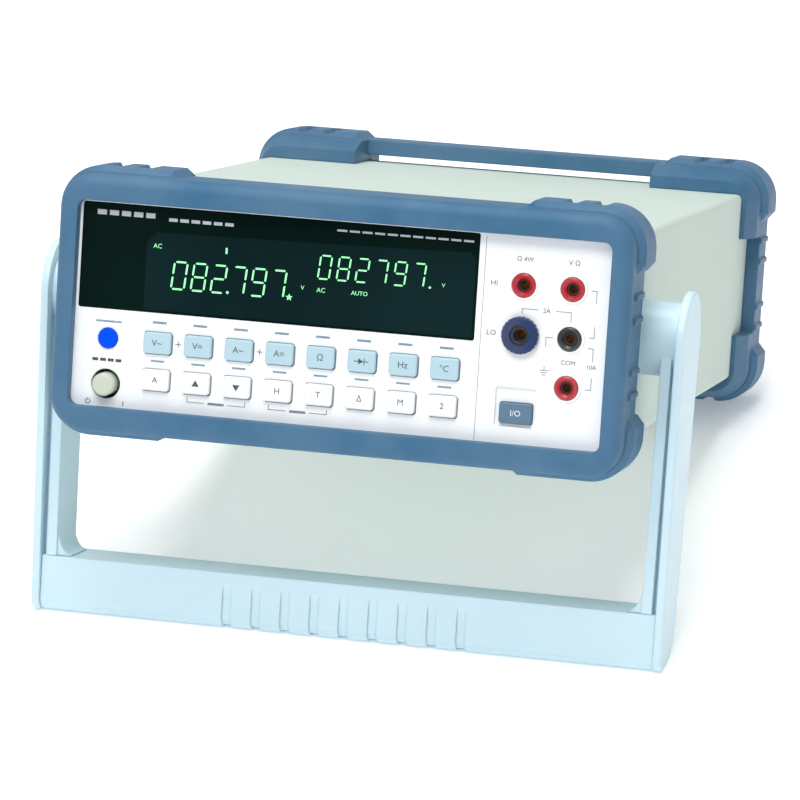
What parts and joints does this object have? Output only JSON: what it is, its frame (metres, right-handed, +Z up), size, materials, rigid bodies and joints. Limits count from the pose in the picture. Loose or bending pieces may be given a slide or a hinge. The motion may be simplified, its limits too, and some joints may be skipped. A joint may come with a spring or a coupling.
{
  "type": "bench multimeter",
  "caption": "Half-rack bench multimeter with display window, keypad and test sockets, rubber bumpers front and rear, tilted on a swinging bail handle.",
  "frame": {"origin": "middle of the object's bounding box at table height; the object stands on the handle's crossbar and the lower edge of its rear bumper", "axes": "+X to the right as seen from the front, +Y from the front panel to the rear, +Z up; the case is tilted back by 14.8 degrees about X"},
  "size_m": [0.2654, 0.3618, 0.1892],
  "materials": {
    "bumper_rubber": "satin moulded blue rubber, faint grain, polished on the raised lugs",
    "case_paint": "fine-textured powder coat in pale grey-green ivory on steel sheet",
    "bezel_plastic": "matt white moulded panel with fine grain and printed thin lines",
    "window_plastic": "dark tinted acrylic with a clear gloss",
    "rear_panel_metal": "painted aluminium sheet",
    "screw_steel": "zinc-plated steel",
    "handle_plastic": "satin pale ice-blue moulded plastic",
    "pivot_plastic": "satin plastic, slightly darker than the handle",
    "zinc_steel": "zinc-plated sheet steel",
    "circuit_board": "green solder mask",
    "tube_glass": "grey-green vacuum tube glass",
    "switch_plastic": "black moulded housings",
    "core_steel": "stacked silicon-steel laminations",
    "coil_tape": "yellow insulating tape",
    "capacitor_sleeve": "shrink sleeve on aluminium cans",
    "ribbon_plastic": "grey ribbon insulation",
    "jack_red": "glossy red moulding",
    "jack_black": "glossy black moulding",
    "contact_brass": "gold-plated brass",
    "carrier_blue": "semi-gloss dark blue moulding",
    "fuse_glass": "clear glass tube with metal caps",
    "function_key_plastic": "satin pale blue-grey keytops",
    "lower_key_plastic": "satin off-white keytops",
    "shift_blue": "satin saturated blue",
    "power_beige": "satin beige-grey",
    "output_slate": "satin slate blue",
    "connector_black": "black moulded connector",
    "connector_metal": "nickel-plated shell"
  },
  "bodies": {
    "case": {"front_bumper": "bumper_rubber", "rear_bumper": "bumper_rubber", "top_cover": "case_paint", "bottom_tray": "case_paint", "front_bezel": "bezel_plastic", "display_window": "window_plastic", "rear_panel": "rear_panel_metal", "case_screws": "screw_steel", "pivot_plate_left": "pivot_plastic", "pivot_plate_right": "pivot_plastic", "pivot_nut_plates": "zinc_steel", "pivot_screws": "screw_steel", "display_board": "circuit_board", "display_tube": "tube_glass", "key_switches": "switch_plastic", "main_board": "circuit_board", "board_screws": "screw_steel", "transformer_core": "core_steel", "transformer_coil": "coil_tape", "analog_shield": "zinc_steel", "filter_capacitors": "capacitor_sleeve", "range_relays": "switch_plastic", "power_switch": "switch_plastic", "ribbon_cable": "ribbon_plastic", "jack_sense_hi": "jack_red", "jack_input_hi": "jack_red", "jack_com": "jack_black", "jack_10a": "jack_red", "jack_contacts": "contact_brass", "fuse_holder": "jack_black", "mains_inlet": "connector_black", "serial_port": "connector_metal", "usb_port": "connector_metal"},
    "handle": {"handle_arm_left": "handle_plastic", "handle_arm_right": "handle_plastic", "handle_crossbar": "handle_plastic"},
    "key_ac_volts": {"key_ac_volts": "function_key_plastic"},
    "key_dc_volts": {"key_dc_volts": "function_key_plastic"},
    "key_ac_current": {"key_ac_current": "function_key_plastic"},
    "key_dc_current": {"key_dc_current": "function_key_plastic"},
    "key_ohms": {"key_ohms": "function_key_plastic"},
    "key_diode": {"key_diode": "function_key_plastic"},
    "key_frequency": {"key_frequency": "function_key_plastic"},
    "key_temperature": {"key_temperature": "function_key_plastic"},
    "key_auto_range": {"key_auto_range": "lower_key_plastic"},
    "key_range_up": {"key_range_up": "lower_key_plastic"},
    "key_range_down": {"key_range_down": "lower_key_plastic"},
    "key_hold": {"key_hold": "lower_key_plastic"},
    "key_trigger": {"key_trigger": "lower_key_plastic"},
    "key_relative": {"key_relative": "lower_key_plastic"},
    "key_max_min": {"key_max_min": "lower_key_plastic"},
    "key_second": {"key_second": "lower_key_plastic"},
    "shift_button": {"shift_button": "shift_blue"},
    "power_button": {"power_button": "power_beige", "power_rod": "zinc_steel"},
    "output_button": {"output_button": "output_slate"},
    "fuse_carrier": {"fuse_carrier": "carrier_blue", "fuse_contact": "contact_brass", "input_fuse": "fuse_glass"},
    "inlet_fuse_drawer": {"inlet_fuse_drawer": "connector_black"}
  },
  "joints": [
    {"name": "handle_swing", "type": "hinge", "parent": "case", "child": "handle", "pos_m": [0, -0.11519, 0.1262], "axis": [1, 0, 0], "range_deg": [-235, 55]},
    {"name": "key_ac_volts_press", "type": "slide", "parent": "case", "child": "key_ac_volts", "axis": [0, 0.967, -0.2549], "range_m": [0, 0.001], "stiffness_N_per_m": 1500},
    {"name": "key_dc_volts_press", "type": "slide", "parent": "case", "child": "key_dc_volts", "axis": [0, 0.967, -0.2549], "range_m": [0, 0.001], "stiffness_N_per_m": 1500},
    {"name": "key_ac_current_press", "type": "slide", "parent": "case", "child": "key_ac_current", "axis": [0, 0.967, -0.2549], "range_m": [0, 0.001], "stiffness_N_per_m": 1500},
    {"name": "key_dc_current_press", "type": "slide", "parent": "case", "child": "key_dc_current", "axis": [0, 0.967, -0.2549], "range_m": [0, 0.001], "stiffness_N_per_m": 1500},
    {"name": "key_ohms_press", "type": "slide", "parent": "case", "child": "key_ohms", "axis": [0, 0.967, -0.2549], "range_m": [0, 0.001], "stiffness_N_per_m": 1500},
    {"name": "key_diode_press", "type": "slide", "parent": "case", "child": "key_diode", "axis": [0, 0.967, -0.2549], "range_m": [0, 0.001], "stiffness_N_per_m": 1500},
    {"name": "key_frequency_press", "type": "slide", "parent": "case", "child": "key_frequency", "axis": [0, 0.967, -0.2549], "range_m": [0, 0.001], "stiffness_N_per_m": 1500},
    {"name": "key_temperature_press", "type": "slide", "parent": "case", "child": "key_temperature", "axis": [0, 0.967, -0.2549], "range_m": [0, 0.001], "stiffness_N_per_m": 1500},
    {"name": "key_auto_range_press", "type": "slide", "parent": "case", "child": "key_auto_range", "axis": [0, 0.967, -0.2549], "range_m": [0, 0.001], "stiffness_N_per_m": 1500},
    {"name": "key_range_up_press", "type": "slide", "parent": "case", "child": "key_range_up", "axis": [0, 0.967, -0.2549], "range_m": [0, 0.001], "stiffness_N_per_m": 1500},
    {"name": "key_range_down_press", "type": "slide", "parent": "case", "child": "key_range_down", "axis": [0, 0.967, -0.2549], "range_m": [0, 0.001], "stiffness_N_per_m": 1500},
    {"name": "key_hold_press", "type": "slide", "parent": "case", "child": "key_hold", "axis": [0, 0.967, -0.2549], "range_m": [0, 0.001], "stiffness_N_per_m": 1500},
    {"name": "key_trigger_press", "type": "slide", "parent": "case", "child": "key_trigger", "axis": [0, 0.967, -0.2549], "range_m": [0, 0.001], "stiffness_N_per_m": 1500},
    {"name": "key_relative_press", "type": "slide", "parent": "case", "child": "key_relative", "axis": [0, 0.967, -0.2549], "range_m": [0, 0.001], "stiffness_N_per_m": 1500},
    {"name": "key_max_min_press", "type": "slide", "parent": "case", "child": "key_max_min", "axis": [0, 0.967, -0.2549], "range_m": [0, 0.001], "stiffness_N_per_m": 1500},
    {"name": "key_second_press", "type": "slide", "parent": "case", "child": "key_second", "axis": [0, 0.967, -0.2549], "range_m": [0, 0.001], "stiffness_N_per_m": 1500},
    {"name": "shift_button_press", "type": "slide", "parent": "case", "child": "shift_button", "axis": [0, 0.967, -0.2549], "range_m": [0, 0.001], "stiffness_N_per_m": 1500},
    {"name": "output_button_press", "type": "slide", "parent": "case", "child": "output_button", "axis": [0, 0.967, -0.2549], "range_m": [0, 0.001], "stiffness_N_per_m": 1500},
    {"name": "power_button_press", "type": "slide", "parent": "case", "child": "power_button", "axis": [0, 0.967, -0.2549], "range_m": [-0.003, 0.0005]},
    {"name": "fuse_carrier_turn", "type": "hinge", "parent": "case", "child": "fuse_carrier", "pos_m": [0.073, -0.16353, 0.14091], "axis": [0, -0.967, 0.2549], "range_deg": [0, 60]},
    {"name": "inlet_fuse_drawer_slide", "type": "slide", "parent": "case", "child": "inlet_fuse_drawer", "axis": [0, 0.967, -0.2549], "range_m": [0, 0.014]}
  ]
}
